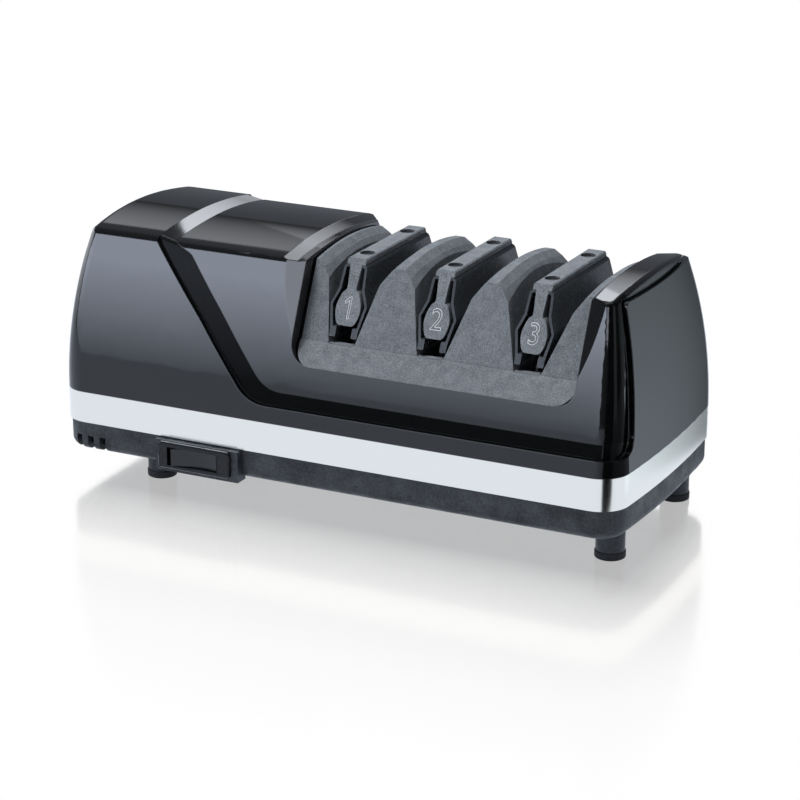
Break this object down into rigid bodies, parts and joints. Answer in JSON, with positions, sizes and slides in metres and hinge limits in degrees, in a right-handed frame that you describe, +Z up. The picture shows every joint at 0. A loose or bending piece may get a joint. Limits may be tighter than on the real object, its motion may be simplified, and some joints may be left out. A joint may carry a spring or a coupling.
{
  "type": "electric knife sharpener",
  "caption": "Countertop electric knife sharpener with guided slots over spring-loaded discs, a rocker switch, a metal trim band and rubber feet.",
  "frame": {"origin": "centre of the footprint at table height, under the middle of the body", "axes": "+Z up, +X along the length towards the end with the stages, -Y the front with the switch"},
  "size_m": [0.254, 0.1167, 0.108],
  "materials": {
    "housing_gloss": "high gloss black moulding",
    "band_metal": "fine satin strip",
    "base_plastic": "spark-eroded grain",
    "insert_plastic": "fine spark-eroded grain",
    "spine_plastic": "fine spark-eroded grain",
    "guide_plastic": "smooth matt",
    "switch_plastic": "satin",
    "rocker_gloss": "polished",
    "switch_inner": "moulded",
    "soft_rubber": "matt",
    "steel_screw": "blackened",
    "steel_shaft": "ground",
    "magnet": "sintered",
    "stator_steel": "stamped laminations",
    "coil_copper": "enamelled wire",
    "bracket_metal": "die cast",
    "bush_bronze": "sintered bronze",
    "disc_abrasive": "diamond coated",
    "disc_strop": "flexible stropping disc"
  },
  "bodies": {
    "housing": {"upper_housing": "housing_gloss", "trim_band": "band_metal", "base_tub": "base_plastic", "guide_insert": "insert_plastic", "switch_bezel": "switch_plastic", "switch_body": "switch_inner", "cord_inlet_bush": "soft_rubber", "housing_screws": "steel_screw", "clean_out_cover": "base_plastic", "clean_out_magnet": "magnet", "motor_stator": "stator_steel", "motor_coil_upper": "coil_copper", "motor_coil_lower": "coil_copper", "motor_bracket_left": "bracket_metal", "motor_bracket_right": "bracket_metal", "motor_bush_left": "bush_bronze", "motor_bush_right": "bush_bronze", "motor_screws": "steel_screw", "far_end_bracket": "bracket_metal", "far_end_bush": "bush_bronze", "foot_pad_front_left": "soft_rubber", "foot_pad_rear_left": "soft_rubber", "foot_pad_front_right": "soft_rubber", "foot_pad_rear_right": "soft_rubber", "stage_1_spine": "spine_plastic", "stage_1_cap": "spine_plastic", "stage_1_spring_guide": "guide_plastic", "stage_1_screws": "steel_screw", "stage_2_spine": "spine_plastic", "stage_2_cap": "spine_plastic", "stage_2_spring_guide": "guide_plastic", "stage_2_screws": "steel_screw", "stage_3_spine": "spine_plastic", "stage_3_cap": "spine_plastic", "stage_3_spring_guide": "guide_plastic", "stage_3_screws": "steel_screw"},
    "rocker": {"rocker_button": "rocker_gloss"},
    "shaft": {"drive_shaft": "steel_shaft", "rotor": "stator_steel", "cooling_fan": "base_plastic", "stop_pins": "steel_shaft", "stage_1_spring": "steel_shaft", "stage_2_spring": "steel_shaft", "stage_3_spring": "steel_shaft"},
    "stage_1_left": {"stage_1_disc_left": "disc_abrasive"},
    "stage_1_right": {"stage_1_disc_right": "disc_abrasive"},
    "stage_2_left": {"stage_2_disc_left": "disc_abrasive"},
    "stage_2_right": {"stage_2_disc_right": "disc_abrasive"},
    "stage_3_left": {"stage_3_disc_left": "disc_strop"},
    "stage_3_right": {"stage_3_disc_right": "disc_strop"}
  },
  "joints": [
    {"name": "rocker_tilt", "type": "hinge", "parent": "housing", "child": "rocker", "pos_m": [-0.0589, -0.0535, 0.01845], "axis": [0, 0, -1], "range_deg": [0, 14]},
    {"name": "shaft_spin", "type": "hinge", "parent": "housing", "child": "shaft", "pos_m": [-0.073, 0, 0.052], "axis": [1, 0, 0], "continuous": true},
    {"name": "stage_1_left_slide", "type": "slide", "parent": "shaft", "child": "stage_1_left", "axis": [1, 0, 0], "range_m": [0, 0.0018], "stiffness_N_per_m": 900, "springref_m": -0.004, "deforming": ["stage_1_spring"]},
    {"name": "stage_1_right_slide", "type": "slide", "parent": "shaft", "child": "stage_1_right", "axis": [-1, 0, 0], "range_m": [0, 0.0018], "stiffness_N_per_m": 900, "springref_m": -0.004, "deforming": ["stage_1_spring"]},
    {"name": "stage_2_left_slide", "type": "slide", "parent": "shaft", "child": "stage_2_left", "axis": [1, 0, 0], "range_m": [0, 0.0018], "stiffness_N_per_m": 900, "springref_m": -0.004, "deforming": ["stage_2_spring"]},
    {"name": "stage_2_right_slide", "type": "slide", "parent": "shaft", "child": "stage_2_right", "axis": [-1, 0, 0], "range_m": [0, 0.0018], "stiffness_N_per_m": 900, "springref_m": -0.004, "deforming": ["stage_2_spring"]},
    {"name": "stage_3_left_slide", "type": "slide", "parent": "shaft", "child": "stage_3_left", "axis": [1, 0, 0], "range_m": [0, 0.0018], "stiffness_N_per_m": 900, "springref_m": -0.004, "deforming": ["stage_3_spring"]},
    {"name": "stage_3_right_slide", "type": "slide", "parent": "shaft", "child": "stage_3_right", "axis": [-1, 0, 0], "range_m": [0, 0.0018], "stiffness_N_per_m": 900, "springref_m": -0.004, "deforming": ["stage_3_spring"]}
  ]
}
